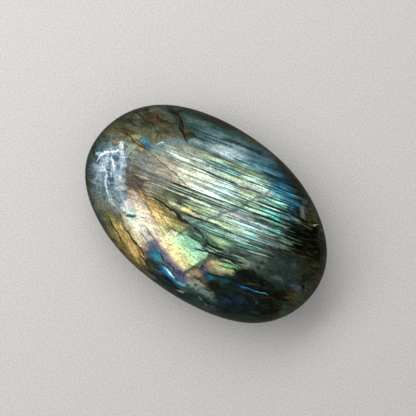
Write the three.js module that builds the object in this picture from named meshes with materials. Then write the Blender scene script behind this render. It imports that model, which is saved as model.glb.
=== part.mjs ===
// Labradorite palm stone: one oval, hand-polished piece of feldspar, domed above and below, with a
// small ground flat underneath that it rests on.
// Millimetres, +Z up, +X along the stone's length. The origin is the middle of the resting face, below
// the centre of the stone's box.
import * as THREE from "three";

// Driving dimensions
const LENGTH = 66; // tip to tip along X
const WIDTH = 43.3; // flank to flank along Y
const THICKNESS = 20; // resting face to the top of the dome
const GIRDLE_HEIGHT = 9.6; // height of the widest level above the resting face

// Shape of the outline seen from above
const OUTLINE_SQUARENESS = 2.14; // exponent of the oval; 2 would be a plain ellipse
const TIP_DROOP = 0.69; // how far both tips sit towards -Y from a symmetrical oval
const POLISH_SWELL = 0.0042; // share by which polishing left the flanks fuller and leaner in turn
const POLISH_LOBES = 6;
const POLISH_TURN = THREE.MathUtils.degToRad(-15);

// Shape of the profile seen from the side
const DOME_SQUARENESS = 2.4;
const BELLY_SQUARENESS = 2.2;
const REST_SHARE = 0.32; // the resting face's size, as a share of the outline

// Fineness of the faceted solid
const STEPS_AROUND = 96;
const DOME_RINGS = 20;
const BELLY_RINGS = 15;

// |value| raised to power, with value's own sign: what makes an ellipse into a squarer oval.
function signedPower(value, power) {
  return Math.sign(value) * Math.abs(value) ** power;
}

// The stone's profile from the middle of the resting face, out to the girdle and up to the top of the
// dome. x is the share of the outline reached at that height, y the height.
function profile() {
  const points = [new THREE.Vector2(0, 0)];
  const belly = 2 / BELLY_SQUARENESS;
  for (let ring = 0; ring < BELLY_RINGS; ring++) {
    const angle = (Math.PI / 2) * (1 - ring / BELLY_RINGS);
    const reach = REST_SHARE + (1 - REST_SHARE) * signedPower(Math.cos(angle), belly);
    const height = GIRDLE_HEIGHT * (1 - signedPower(Math.sin(angle), belly));
    points.push(new THREE.Vector2(reach, height));
  }
  const dome = 2 / DOME_SQUARENESS;
  const domeHeight = THICKNESS - GIRDLE_HEIGHT;
  for (let ring = 0; ring < DOME_RINGS; ring++) {
    const angle = (Math.PI / 2) * (ring / DOME_RINGS);
    const reach = signedPower(Math.cos(angle), dome);
    points.push(new THREE.Vector2(reach, GIRDLE_HEIGHT + domeHeight * signedPower(Math.sin(angle), dome)));
  }
  points.push(new THREE.Vector2(0, THICKNESS));
  return points;
}

// Moves a point of the round solid of radius 1 onto the stone's outline, at the same height.
function ontoOutline(point) {
  const reach = Math.hypot(point.x, point.y);
  const around = Math.atan2(point.y, point.x);
  const oval = 2 / OUTLINE_SQUARENESS;
  const swell = 1 + POLISH_SWELL * Math.sin(POLISH_LOBES * around + POLISH_TURN);
  const along = reach * swell * signedPower(Math.cos(around), oval);
  const across = reach * swell * signedPower(Math.sin(around), oval);
  point.x = (LENGTH / 2) * along;
  point.y = (WIDTH / 2) * across - TIP_DROOP * along * along;
}

function stoneGeometry() {
  const geometry = new THREE.LatheGeometry(profile(), STEPS_AROUND);
  geometry.rotateX(Math.PI / 2);
  const places = geometry.getAttribute("position");
  const point = new THREE.Vector3();
  for (let i = 0; i < places.count; i++) {
    point.fromBufferAttribute(places, i);
    ontoOutline(point);
    places.setXYZ(i, point.x, point.y, point.z);
  }
  // The polish swell moves the outline's extremes a little, so the box is brought back to its size.
  geometry.computeBoundingBox();
  const size = geometry.boundingBox.getSize(new THREE.Vector3());
  const middle = geometry.boundingBox.getCenter(new THREE.Vector3());
  geometry.translate(-middle.x, -middle.y, -geometry.boundingBox.min.z);
  geometry.scale(LENGTH / size.x, WIDTH / size.y, THICKNESS / size.z);
  geometry.computeVertexNormals();
  return geometry;
}

const stone = new THREE.Mesh(
  stoneGeometry(),
  new THREE.MeshStandardMaterial({ color: 0x6f8579, roughness: 0.12, metalness: 0 }),
);
stone.name = "palm_stone";

const part = new THREE.Group();
part.add(stone);

export default part;
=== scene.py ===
# A labradorite palm stone on a pale table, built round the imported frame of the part.
#
# The stone is one polished pebble. Its mesh is a rounded cube drawn onto the frame's solid. Its finish
# is drawn on Object coordinates, in millimetres on the stone: X runs along it, Y across, Z up.
import math
import bpy
from mathutils import Matrix, Vector


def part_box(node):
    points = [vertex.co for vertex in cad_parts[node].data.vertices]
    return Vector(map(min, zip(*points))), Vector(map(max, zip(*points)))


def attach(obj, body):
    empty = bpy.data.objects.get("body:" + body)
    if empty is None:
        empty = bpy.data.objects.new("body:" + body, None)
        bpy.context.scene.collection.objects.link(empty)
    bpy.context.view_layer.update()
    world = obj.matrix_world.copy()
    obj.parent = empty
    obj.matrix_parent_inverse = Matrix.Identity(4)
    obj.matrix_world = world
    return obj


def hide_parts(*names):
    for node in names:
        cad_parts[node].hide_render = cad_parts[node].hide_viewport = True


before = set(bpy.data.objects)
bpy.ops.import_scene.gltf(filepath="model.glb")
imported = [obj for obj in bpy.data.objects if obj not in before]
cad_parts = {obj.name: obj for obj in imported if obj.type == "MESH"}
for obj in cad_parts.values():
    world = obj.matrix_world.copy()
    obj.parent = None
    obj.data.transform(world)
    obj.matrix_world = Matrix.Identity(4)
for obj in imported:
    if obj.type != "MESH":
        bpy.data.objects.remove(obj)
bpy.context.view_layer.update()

MM = 0.001  # sizes here are in millimetres, Blender's are in metres
NODE = "palm_stone"

# Camera: straight above, with a long lens
LENS = 85.0
SENSOR = 36.0
VIEW_WIDTH = 103.3 * MM  # how much the picture takes in, level with the girdle
GIRDLE_HEIGHT = 9.6 * MM
STONE_TURN = math.radians(-37)  # the long axis in the picture, from level
STONE_ASIDE = -0.17 * MM  # the stone's centre from the picture's centre, to the right
STONE_ABOVE = -1.14 * MM  # and upwards

# The stone's mesh
CAGE_STEPS = 14  # squares along each edge of the cube that the stone is rounded from
SMOOTHING_LEVELS = 3
MERGE_DISTANCE = 0.001 * MM
DOME_SHEET = (Vector((0.5, 0.715)), Vector((0.43, 0.275)))  # middle and half size of each half's flat sheet
BELLY_SHEET = (Vector((0.5, 0.215)), Vector((0.32, 0.205)))

# Lamellae: they lie level in "height", which is Y with their slope taken out. Low on the stone they
# steepen. The tables below give each one's height off a straight rule, laid against its middle.
LAYER_SLOPE = 0.288
LAYER_FAN = 0.009
LAYER_FAN_BELOW = 1.0
RULE_SLOPE = 0.329
RULE_FAN = 0.0039
DARK_THICKENING = 1.2
LAYER_DRIFT = 0.5  # millimetres that a lamella's height drifts
LAYER_FADE = 1.8  # millimetres over which a lamella's ends fade
FRAY = 13.0  # how far the strands of a flash end before or after one another
GLOW_FADE = 2.6
GLOW_OVERLAP = 0.8  # millimetres that a glow runs on at each end
GLOW_SPREAD = 2.1  # a glow's thickness, for each millimetre of its size in the table
VEIN_TIP = 0.35  # a vein's thickness at its ends, as a share
VEIN_SWELL = 0.9  # and how much it gains at its middle
WANDER = 1.6  # millimetres that a crack strays from its line
LOOK_HEIGHT = 244.0  # the top's colours lie as they look from this far above the girdle
UPRIGHT = (0, 0, 0)
LAYERED = (0, 0, math.atan(LAYER_SLOPE))
CROSSED = (0, 0, math.radians(-24))  # the lines across the amber and cream
DIPPING = (0.5, 0.15, math.atan(LAYER_SLOPE))  # the lamellae as they run down through the body

# Cracks and pits that are open at the surface, in millimetres from the stone's middle, seen from above
LONG_CRACK = [(-14, -5.5), (-12.5, -5.0), (-11, -4.9), (-9.4, -4.9), (-7.6, -4.7), (-5.6, -4.8),
              (-4.2, -5.3), (-2.4, -5.0), (-0.6, -4.8), (1.2, -4.8), (2.8, -5.1), (4.2, -5.9),
              (6.4, -6.8), (9.2, -7.3)]
LEFT_CRACK = [(-31, 2.9), (-28, 3.5), (-25, 3.4), (-21, 3.2), (-16, 3.2), (-12, 3.0), (-8, 2.4), (-6.6, 2)]
SHOULDER_CRACK = [(-20.6, 15.4), (-19.2, 14.3), (-17.8, 13.4), (-16.4, 12.4), (-15.0, 11.2)]
OPEN_VEINS = (
    [(-27.3, -1.2), (-28.2, -2.4), (-29.3, -3.5), (-29.8, -4.8), (-29.5, -6.2)],
    [(-28.6, -6.2), (-27, -6.6), (-25.8, -7.6), (-24.8, -9.2), (-23.6, -10.2), (-22.4, -11.2),
     (-20.8, -12.4)],
)
CRACK_HALF_WIDTH = 0.45
CRACK_DEPTH = 0.05
PITS = (  # middle, half its width, depth
    ((-14.8, -11.9), 1.1, 0.12), ((-21.9, 14.7), 0.9, 0.08), ((24.0, 12.4), 0.8, 0.14),
    ((23.2, 13.4), 0.6, 0.1), ((-6.9, -2.2), 0.6, 0.06), ((8.4, -16.1), 0.5, 0.06),
    ((18.6, -1.6), 0.6, 0.06), ((28.5, 2.2), 0.5, 0.06), ((30.0, -0.2), 0.5, 0.06),
    ((-27.2, 0.4), 0.7, 0.08),
)

ROUGHNESS = (0.18, 0.46)  # of the stone under its polish, sheet by sheet
RIM_ABOVE = (16.0, 11.5)  # the rim, where the colours are darkened by painted shade, lies between these heights
RIM_BELOW = (5.0, 8.5)
RIM_SHADE = 0.32
RIM_THINS = (18.0, 27.0)  # places along the stone between which the painted shade weakens, towards the dark end
RIM_LOSS = 0.7
DOME_EDGE = (8.0, 12.5)  # heights between which the body gives way to the top's colours
DOME_EDGE_STRAYS = 6.0  # and how far the clouds push them up and down

# Table
TABLE_RADIUS = 3.0
LIT_RADIUS = (0.085, 0.24)  # between these the table turns into the pale studio behind it
STUDIO_GREY = (0.62, 0.61, 0.595, 1.0)
GRIT_DARK = (0.597, 0.582, 0.565, 1.0)
GRIT_PALE = (0.72, 0.705, 0.687, 1.0)

# Light: what the room sheds from all round, what the polish mirrors of it, and the lamps' colours
ROOM_LIGHT = (0.4, 0.4, 0.4, 1)
MIRRORED_ROOM = (0.05, 0.05, 0.052, 1)
WARM = (1.0, 0.99, 0.975)
COOL = (0.92, 0.97, 1.0)


# ------------------------------------------------------------------ working on meshes
def only(thing):
    """Selects one object and nothing else."""
    bpy.ops.object.select_all(action="DESELECT")
    thing.select_set(True)
    bpy.context.view_layer.objects.active = thing


def edit(thing):
    """Opens one object for editing, with all of it selected."""
    only(thing)
    bpy.ops.object.mode_set(mode="EDIT")
    bpy.ops.mesh.select_all(action="SELECT")


def done():
    bpy.ops.object.mode_set(mode="OBJECT")


def apply_modifier(thing, kind, **settings):
    only(thing)
    modifier = thing.modifiers.new(kind.title(), kind)
    for setting, value in settings.items():
        setattr(modifier, setting, value)
    bpy.ops.object.modifier_apply(modifier=modifier.name)


def corners(thing):
    """The lowest and highest corner of a mesh."""
    places = [vertex.co for vertex in thing.data.vertices]
    low = Vector(min(place[axis] for place in places) for axis in range(3))
    high = Vector(max(place[axis] for place in places) for axis in range(3))
    return low, high


def fit_between(thing, low, high):
    """Resizes and moves a mesh so that its box runs from low to high."""
    now_low, now_high = corners(thing)
    now_size = now_high - now_low
    stretch = [(high[axis] - low[axis]) / now_size[axis] for axis in range(3)]
    edit(thing)
    bpy.ops.transform.translate(value=-(now_low + now_high) / 2)
    bpy.ops.transform.resize(value=stretch, center_override=(0, 0, 0))
    bpy.ops.transform.translate(value=(low + high) / 2)
    done()


# ------------------------------------------------------------------ the stone's shape
def merged_solid(node):
    """A merged copy of the frame's solid, for the stone's mesh to be drawn onto."""
    only(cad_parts[node])
    bpy.ops.object.duplicate()
    solid = bpy.context.object
    edit(solid)
    bpy.ops.mesh.remove_doubles(threshold=MERGE_DISTANCE)
    done()
    return solid


def unroll_skin(ball):
    """Lays the ball's upper and lower half flat, one above the other, with the seam at the girdle."""
    skin = ball.data.uv_layers.new(name="OFBake")
    for face in ball.data.polygons:
        on_dome = face.center.z > 0
        middle, half = DOME_SHEET if on_dome else BELLY_SHEET
        for corner in face.loop_indices:
            place = ball.data.vertices[ball.data.loops[corner].vertex_index].co.normalized()
            share = math.acos(min(1.0, abs(place.z))) / (math.pi / 2)
            level = Vector((place.x, place.y if on_dome else -place.y))
            if level.length > 0:
                level = level.normalized() * share
            skin.data[corner].uv = middle + level * half


def press(stone, places, points, half_width, depth):
    """Sinks a groove into the dome along points, or a pit at a single point."""
    route = [Vector(point) * MM for point in points]
    stretches = list(zip(route, route[1:])) or [(route[0], route[0])]
    reach = half_width * MM
    low_x, high_x = min(p.x for p in route) - reach, max(p.x for p in route) + reach
    low_y, high_y = min(p.y for p in route) - reach, max(p.y for p in route) + reach
    only(stone)
    bpy.ops.object.mode_set(mode="EDIT")
    bpy.ops.mesh.select_all(action="DESELECT")
    done()
    for index, place in places:
        if not (low_x < place.x < high_x and low_y < place.y < high_y):
            continue
        for start, end in stretches:
            way = end - start
            share = (place - start).dot(way) / way.length_squared if way.length else 0
            nearest = start + way * min(1, max(0, share))
            if (place - nearest).length < reach:
                stone.data.vertices[index].select = True
                break
    bpy.ops.object.mode_set(mode="EDIT")
    bpy.ops.transform.shrink_fatten(value=-depth * MM)
    done()


def press_marks(stone):
    """The open cracks, pits and edge chips that the polish left. Their places are as seen from above."""
    places = []
    for vertex in stone.data.vertices:
        if vertex.co.z > GIRDLE_HEIGHT:
            spread = LOOK_HEIGHT * MM / (LOOK_HEIGHT * MM + GIRDLE_HEIGHT - vertex.co.z)
            places.append((vertex.index, Vector((vertex.co.x, vertex.co.y)) * spread))
    for line in LONG_CRACK, LEFT_CRACK, SHOULDER_CRACK, *OPEN_VEINS:
        press(stone, places, line, CRACK_HALF_WIDTH, CRACK_DEPTH)
    for middle, half_width, depth in PITS:
        press(stone, places, [middle], half_width, depth / 2)
        press(stone, places, [middle], half_width / 2, depth / 2)


def rounded_stone():
    """A cube cut into squares and rounded, drawn onto the solid, smoothed and brought to its size."""
    low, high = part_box(NODE)
    low, high = Vector(low), Vector(high)
    solid = merged_solid(NODE)
    bpy.ops.object.select_all(action="DESELECT")
    bpy.ops.mesh.primitive_cube_add(size=2.0, location=(0, 0, 0))
    stone = bpy.context.object
    stone.name = "labradorite_stone"
    edit(stone)
    bpy.ops.mesh.subdivide(number_cuts=CAGE_STEPS - 1)
    bpy.ops.transform.tosphere(value=1.0)
    done()
    unroll_skin(stone)
    fit_between(stone, low, high)
    apply_modifier(stone, "SHRINKWRAP", target=solid, wrap_method="NEAREST_SURFACEPOINT")
    apply_modifier(stone, "SUBSURF", levels=SMOOTHING_LEVELS, render_levels=SMOOTHING_LEVELS)
    fit_between(stone, low, high)
    bpy.data.objects.remove(solid)
    press_marks(stone)
    only(stone)
    bpy.ops.object.shade_smooth()
    return stone


# ------------------------------------------------------------------ node trees
class Tree:
    """A node tree with short ways of adding to it. Most give back the new node's output."""

    def __init__(self, tree):
        self.tree = tree

    def join(self, source, plug):
        if isinstance(source, bpy.types.NodeSocket):
            self.tree.links.new(source, plug)
        else:
            plug.default_value = source

    def node(self, kind, plugs=None, **settings):
        """A node of any kind. plugs are its inputs, by number or name."""
        made = self.tree.nodes.new(kind)
        for setting, value in settings.items():
            setattr(made, setting, value)
        for plug, source in (plugs or {}).items():
            self.join(source, made.inputs[plug])
        return made

    def maths(self, operation, *values):
        plugs = dict(enumerate(values))
        return self.node("ShaderNodeMath", plugs, operation=operation).outputs[0]

    def vector(self, operation, *values, gives="Vector"):
        plugs = dict(enumerate(values))
        return self.node("ShaderNodeVectorMath", plugs, operation=operation).outputs[gives]

    def scaled(self, vector, factor):
        made = self.node("ShaderNodeVectorMath", {0: vector, "Scale": factor}, operation="SCALE")
        return made.outputs["Vector"]

    def times(self, first, *others):
        """Values multiplied together, one after another."""
        for other in others:
            first = self.maths("MULTIPLY", first, other)
        return first

    def rest(self, share):
        """What a share leaves of 1."""
        return self.maths("SUBTRACT", 1.0, share)

    def centred(self, noise):
        """A noise that swings round 0."""
        return self.maths("SUBTRACT", noise, 0.5)

    def combined(self, x, y, z):
        return self.node("ShaderNodeCombineXYZ", {0: x, 1: y, 2: z}).outputs[0]

    def rise(self, value, start, end):
        """0 up to start, 1 from end on, and smooth between. Falls where start is the higher."""
        plugs = {"Value": value, "From Min": start, "From Max": end}
        made = self.node("ShaderNodeMapRange", plugs, interpolation_type="SMOOTHSTEP", clamp=False)
        return made.outputs[0]

    def span(self, value, low, high, to_low, to_high):
        """Maps low to high onto to_low to to_high in a straight line, which goes on past the ends."""
        plugs = {"Value": value, "From Min": low, "From Max": high, "To Min": to_low, "To Max": to_high}
        return self.node("ShaderNodeMapRange", plugs, clamp=False).outputs[0]

    def mix(self, share, under, over, blend="MIX"):
        plugs = {0: share, 6: under, 7: over}
        return self.node("ShaderNodeMix", plugs, data_type="RGBA", blend_type=blend).outputs[2]

    def grained(self, size, turn=UPRIGHT, shift=(0, 0, 0), detail=3.0, roughness=0.6):
        """A noise whose grains have a size in millimetres and lie turned."""
        metres = self.node("ShaderNodeTexCoord").outputs["Object"]
        plugs = {"Vector": metres, "Location": Vector(shift) * MM, "Rotation": turn,
                 "Scale": Vector(size) * MM}
        place = self.node("ShaderNodeMapping", plugs, vector_type="TEXTURE").outputs[0]
        plugs = {"Vector": place, "Scale": 1.0, "Detail": detail, "Roughness": roughness}
        return self.node("ShaderNodeTexNoise", plugs).outputs["Fac"]

    def placed(self, group, plugs):
        """A group of ours, placed with its own values. Gives back all its outputs."""
        return self.node("ShaderNodeGroup", plugs, node_tree=group).outputs


def new_group(name, takes, gives):
    """A node group with named inputs and outputs: the group, its tree, its inputs and its outputs."""
    made = bpy.data.node_groups.new(name, "ShaderNodeTree")
    for plug, kind in takes.items():
        made.interface.new_socket(plug, in_out="INPUT", socket_type="NodeSocket" + kind)
    for plug, kind in gives.items():
        made.interface.new_socket(plug, in_out="OUTPUT", socket_type="NodeSocket" + kind)
    start = made.nodes.new("NodeGroupInput")
    end = made.nodes.new("NodeGroupOutput")
    return made, Tree(made), start.outputs, end.inputs


def paint(red, green, blue):
    """A colour as seen, 0 to 255 a channel, as the light value that Blender wants."""
    def light(channel):
        share = channel / 255
        return share / 12.92 if share <= 0.04045 else ((share + 0.055) / 1.055) ** 2.4
    return (light(red), light(green), light(blue), 1.0)


# ------------------------------------------------------------------ effects on the stone
STROKE_EDGE = (0.35, 1.35)  # a stroke fades between these shares of its half thickness
LAYER_EDGE = (0.55, 1.6)  # and so does a lamella
UNEVEN_LAYER = (0.3, 0.7, 0.55, 1.45)  # a noise between the first two makes it thinner or thicker
MOTTLED_PATCH = (0.3, 0.52, 0.65, 1.0)  # and makes a patch weaker in places


def patch_group(name, squared):
    """An oval or squarish patch of colour over what is under it, its edge ruffled by a noise."""
    group, t, takes, gives = new_group(
        name,
        {"Under": "Color", "Colour": "Color", "Place": "Vector", "Middle": "Vector", "Turn": "Float",
         "Half Length": "Float", "Half Width": "Float", "Edge": "Float", "Noise": "Float",
         "Ruffle": "Float", "Texture": "Float", "Share": "Float"},
        {"Colour": "Color"},
    )
    cosine = t.maths("COSINE", takes["Turn"])
    sine = t.maths("SINE", takes["Turn"])
    lengthways = t.combined(cosine, sine, 0.0)
    widthways = t.combined(t.times(sine, -1.0), cosine, 0.0)
    out = t.vector("SUBTRACT", takes["Place"], takes["Middle"])
    along = t.maths("DIVIDE", t.vector("DOT_PRODUCT", out, lengthways, gives="Value"), takes["Half Length"])
    across = t.maths("DIVIDE", t.vector("DOT_PRODUCT", out, widthways, gives="Value"), takes["Half Width"])
    along = t.times(along, along)
    across = t.times(across, across)
    if squared:
        total = t.maths("MULTIPLY_ADD", along, along, t.times(across, across))
        total = t.maths("SQRT", total)
    else:
        total = t.maths("ADD", along, across)
    uneven = t.centred(takes["Noise"])
    ruffled = t.maths("MULTIPLY_ADD", uneven, takes["Ruffle"], t.maths("SQRT", total))
    inner = t.rest(takes["Edge"])
    outer = t.maths("ADD", 1.0, takes["Edge"])
    inside = t.rest(t.rise(ruffled, inner, outer))
    mottle = t.maths("MINIMUM", 1.0, t.span(takes["Noise"], *MOTTLED_PATCH))
    mask = t.times(inside, mottle, takes["Texture"], takes["Share"])
    t.join(t.mix(mask, takes["Under"], takes["Colour"]), gives["Colour"])
    return group


def stroke_group():
    """One straight stretch of a vein or crack, added to the mask of the stretches before it."""
    group, t, takes, gives = new_group(
        "stroke",
        {"Mask": "Float", "Place": "Vector", "From": "Vector", "To": "Vector",
         "Half There": "Float", "Half Here": "Float"},
        {"Mask": "Float"},
    )
    way = t.vector("SUBTRACT", takes["To"], takes["From"])
    out = t.vector("SUBTRACT", takes["Place"], takes["From"])
    square = t.vector("DOT_PRODUCT", way, way, gives="Value")
    along = t.vector("DOT_PRODUCT", out, way, gives="Value")
    share = t.maths("MINIMUM", t.maths("MAXIMUM", t.maths("DIVIDE", along, square), 0.0), 1.0)
    distance = t.vector("DISTANCE", out, t.scaled(way, share), gives="Value")
    half = t.span(share, 0.0, 1.0, takes["Half There"], takes["Half Here"])
    ratio = t.maths("DIVIDE", distance, half)
    mask = t.rest(t.rise(ratio, *STROKE_EDGE))
    t.join(t.maths("MAXIMUM", mask, takes["Mask"]), gives["Mask"])
    return group


def place_group():
    """The place on the stone, in millimetres."""
    group, t, _, gives = new_group("place in millimetres", {}, {"Place": "Vector"})
    metres = t.node("ShaderNodeTexCoord").outputs["Object"]
    place = t.node("ShaderNodeMapping", {"Vector": metres, "Scale": (1 / MM, 1 / MM, 1 / MM)})
    t.join(place.outputs[0], gives["Place"])
    return group


def split_group():
    """The three parts of a place."""
    group, t, takes, gives = new_group(
        "parts of a place", {"Place": "Vector"}, {"X": "Float", "Y": "Float", "Z": "Float"},
    )
    parts = t.node("ShaderNodeSeparateXYZ", {0: takes["Place"]}).outputs
    for name in "XYZ":
        t.join(parts[name], gives[name])
    return group


def grid_group():
    """Places on the stone, in millimetres, and the noises that several effects share."""
    group, t, _, gives = new_group(
        "stone grid", {},
        {"Flat": "Vector", "Wandering": "Vector", "X": "Float", "Frayed": "Float", "Height": "Float",
         "Z": "Float", "Streaky": "Float", "Crossed": "Float", "Cloudy": "Float", "Grainy": "Float"},
    )
    place = t.placed(place_group(), {})["Place"]
    drift = t.grained((9, 2, 9), LAYERED, detail=2.0, roughness=0.5)
    crossed = t.grained((4.2, 0.7, 3), CROSSED, (0, 30, 0))
    streaky = t.grained((7.0, 0.9, 3.3), LAYERED)
    cloudy = t.grained((4.2, 4.2, 4.2), roughness=0.55)
    grainy = t.grained((1.3, 1.3, 1.3), detail=4.0)
    strands = t.grained((11, 0.5, 4), LAYERED, (0, 21, 0))
    wander_x = t.grained((2.2, 2.2, 2.2), UPRIGHT, (31, 17, 5), detail=2.0, roughness=0.5)
    wander_y = t.grained((2.2, 2.2, 2.2), UPRIGHT, (-13, 9, 21), detail=2.0, roughness=0.5)
    parts = t.placed(split_group(), {"Place": place})
    z = parts["Z"]
    spread = t.maths("DIVIDE", LOOK_HEIGHT, t.maths("SUBTRACT", LOOK_HEIGHT + GIRDLE_HEIGHT / MM, z))
    x = t.times(parts["X"], spread)
    y = t.times(parts["Y"], spread)
    fan = t.maths("MULTIPLY_ADD", x, -LAYER_FAN, 1.0)
    level = t.maths("SUBTRACT", t.maths("MULTIPLY_ADD", x, -LAYER_SLOPE, y), LAYER_FAN_BELOW)
    low_level = t.maths("DIVIDE", t.maths("MINIMUM", level, 0.0), fan)
    level = t.maths("ADD", t.maths("MAXIMUM", level, 0.0), low_level)
    level = t.maths("ADD", level, LAYER_FAN_BELOW)
    height = t.maths("MULTIPLY_ADD", t.centred(drift), LAYER_DRIFT, level)
    wandering = t.combined(t.maths("MULTIPLY_ADD", t.centred(wander_x), WANDER, x),
                           t.maths("MULTIPLY_ADD", t.centred(wander_y), WANDER, y), 0.0)
    for name, source in {
        "Flat": t.combined(x, y, 0.0), "Wandering": wandering, "X": x, "Height": height, "Z": z,
        "Frayed": t.maths("MULTIPLY_ADD", t.centred(strands), FRAY, x),
        "Streaky": streaky, "Crossed": crossed, "Cloudy": cloudy, "Grainy": grainy,
    }.items():
        t.join(source, gives[name])
    return group


def height_off_rule(at, start, end):
    """The height of a lamella whose middle lies at a height read off the straight rule."""
    x = (start + end) / 2
    y = at + x * (RULE_SLOPE - RULE_FAN * at)
    level = y - LAYER_SLOPE * x - LAYER_FAN_BELOW
    if level < 0:
        level /= 1 - LAYER_FAN * x
    return level + LAYER_FAN_BELOW


def layer_group():
    """One thin layer of the crystal, seen edge on: a straight stripe at its own height."""
    group, t, takes, gives = new_group(
        "layer",
        {"Under": "Color", "Colour": "Color", "Along": "Float", "Height": "Float", "Fray": "Float",
         "At": "Float", "From": "Float", "To": "Float", "Fade": "Float", "Half Thickness": "Float",
         "Share": "Float"},
        {"Colour": "Color"},
    )
    off = t.maths("ABSOLUTE", t.maths("SUBTRACT", takes["Height"], takes["At"]))
    half = t.times(takes["Half Thickness"], t.span(takes["Fray"], *UNEVEN_LAYER))
    across = t.rest(t.rise(t.maths("DIVIDE", off, half), *LAYER_EDGE))
    start = t.rise(takes["Along"], takes["From"], t.maths("ADD", takes["From"], takes["Fade"]))
    end = t.rise(takes["Along"], t.maths("SUBTRACT", takes["To"], takes["Fade"]), takes["To"])
    length = t.times(start, t.rest(end))
    mask = t.times(across, length, takes["Share"])
    t.join(t.mix(mask, takes["Under"], takes["Colour"]), gives["Colour"])
    return group


# How a patch meets its surroundings: its shape, the softness of its edge, the noise that ruffles it and
# how much
SOFT = ("oval", 0.45, "cloudy", 1.2)
SMOOTH = ("oval", 0.35, "cloudy", 0.9)
FIRM = ("oval", 0.25, "cloudy", 0.6)
EASED = ("oval", 0.3, "cloudy", 0.6)
EDGED = ("oval", 0.08, "cloudy", 0.25)
CRISP = ("oval", 0.1, "grainy", 0.5)
BLOCK = ("block", 0.1, "grainy", 0.5)
CRUMBLED = ("oval", 0.3, "grainy", 0.8)
FROSTED = ("oval", 0.25, "grainy", 1.4)
RAGGED = ("oval", 0.55, "grainy", 3.4)
SILKY = ("oval", 0.2, "streaky", 0.6)
GLOW = ("oval", 0.4, "streaky", 1.0)
STREAKED = ("oval", 0.35, "streaky", 3.0)
FANNED = ("oval", 0.4, "crossed", 3.0)


class Skin:
    """The stone's colour, laid on stroke by stroke over a ground.

    Its colours are as seen, 0 to 255 a channel. A share says how strongly one covers what is under it.
    """

    PATCH_ROW = ("middle", "half", "turn", "colour", "share", "kind", "texture")

    def __init__(self, tree):
        self.t = t = tree
        self.patch_kinds = {"oval": patch_group("oval patch", squared=False),
                            "block": patch_group("block patch", squared=True)}
        self.stroke_kind = stroke_group()
        self.layer_kind = layer_group()
        grid = t.placed(grid_group(), {})
        self.flat = grid["Flat"]
        self.wandering = grid["Wandering"]
        self.x = grid["X"]
        self.frayed = grid["Frayed"]
        self.height = grid["Height"]
        self.z = grid["Z"]
        self.noises = {name: grid[name.title()] for name in ("streaky", "crossed", "cloudy", "grainy")}
        self.colour = None

        # textures to lay patches in: thin sheets, and a web of healed fractures
        self.thin = t.rise(t.grained((8, 0.45, 3), LAYERED, (9, 0, 0), roughness=0.65), 0.4, 0.6)
        crazing = t.grained((2.4, 2.4, 2.4), UPRIGHT, (4, 4, 4))
        self.web = t.rise(t.maths("ABSOLUTE", t.centred(crazing)), 0.05, 0.0)

    def tint(self, mask, light, blend="MIX"):
        """Colours where a mask says. The colour is given as light, as paint gives it."""
        self.colour = self.t.mix(mask, self.colour, light, blend)

    def shade(self, mask, low, high, share):
        """Multiplies the colour by low where the mask is 0 and by high where it is 1."""
        level = self.t.mix(mask, (low, low, low, 1), (high, high, high, 1))
        self.colour = self.t.mix(share, self.colour, level, "MULTIPLY")

    def patch(self, middle, half, turn, colour, share=0.9, kind=SOFT, texture=1.0):
        """A patch of colour. middle and half its size are in millimetres, turn in degrees."""
        shape, edge, noise, ruffle = kind
        self.colour = self.t.placed(self.patch_kinds[shape], {
            "Under": self.colour, "Colour": paint(*colour), "Place": self.flat,
            "Middle": (*middle, 0.0), "Half Length": half[0], "Half Width": half[1],
            "Turn": math.radians(turn), "Edge": edge, "Noise": self.noises[noise], "Ruffle": ruffle,
            "Texture": texture, "Share": share,
        })["Colour"]

    def patches(self, usual_kind, *rows):
        """Patches laid in order. Each row says what PATCH_ROW lists, from middle to colour at least."""
        for row in rows:
            told = dict(zip(self.PATCH_ROW, row))
            self.patch(**{"kind": usual_kind, **told})

    def layer(self, at, start, end, thickness, colour, share, fade=LAYER_FADE, along=None, fray="grainy"):
        """A lamella, at a height read off the straight rule."""
        self.colour = self.t.placed(self.layer_kind, {
            "Under": self.colour, "Colour": paint(*colour), "Along": along or self.x, "Height": self.height,
            "Fray": self.noises[fray], "At": height_off_rule(at, start, end), "From": start, "To": end,
            "Fade": fade, "Half Thickness": thickness / 2, "Share": share,
        })["Colour"]

    def glow(self, at, start, end, thickness, colour, share):
        """A band of one colour along the lamellae, its ends frayed into strands."""
        self.layer(at, start, end, thickness, colour, share, GLOW_FADE, self.frayed, "streaky")

    def vein(self, points, thickness, colour, share=0.9, pointed=True):
        """A crack or vein through points, thinning towards its ends where it is pointed."""
        steps = len(points) - 1

        def half_at(step):
            if not pointed:
                return thickness / 2
            return thickness / 2 * (VEIN_TIP + VEIN_SWELL * math.sin(math.pi * step / steps))

        mask = 0.0
        for step in range(steps):
            mask = self.t.placed(self.stroke_kind, {
                "Mask": mask, "Place": self.wandering,
                "From": (*points[step], 0.0), "To": (*points[step + 1], 0.0),
                "Half There": half_at(step), "Half Here": half_at(step + 1),
            })["Mask"]
        self.colour = self.t.mix(self.t.times(mask, share), self.colour, paint(*colour))

    def veins(self, *rows):
        """Veins laid in order. Each row says what vein takes."""
        for row in rows:
            self.vein(*row)


# ------------------------------------------------------------------ colours of the stone
# As seen, 0 to 255 a channel
INK = (7, 9, 6)
BLACK = (12, 22, 22)
DARK = (34, 54, 56)
SLATE = (80, 102, 106)
NAVY = (16, 48, 68)
OLIVE_DARK = (88, 90, 58)
BROWN = (96, 78, 52)
PEARL = (246, 251, 232)
CREAM = (242, 240, 212)
BUTTER = (240, 234, 164)
SEA = (116, 164, 152)
ICE = (200, 226, 226)
SKY = (66, 134, 156)
PEACH = (212, 190, 164)
ROSE = (222, 206, 204)
OLIVE_MIST = (138, 142, 108)


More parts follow.
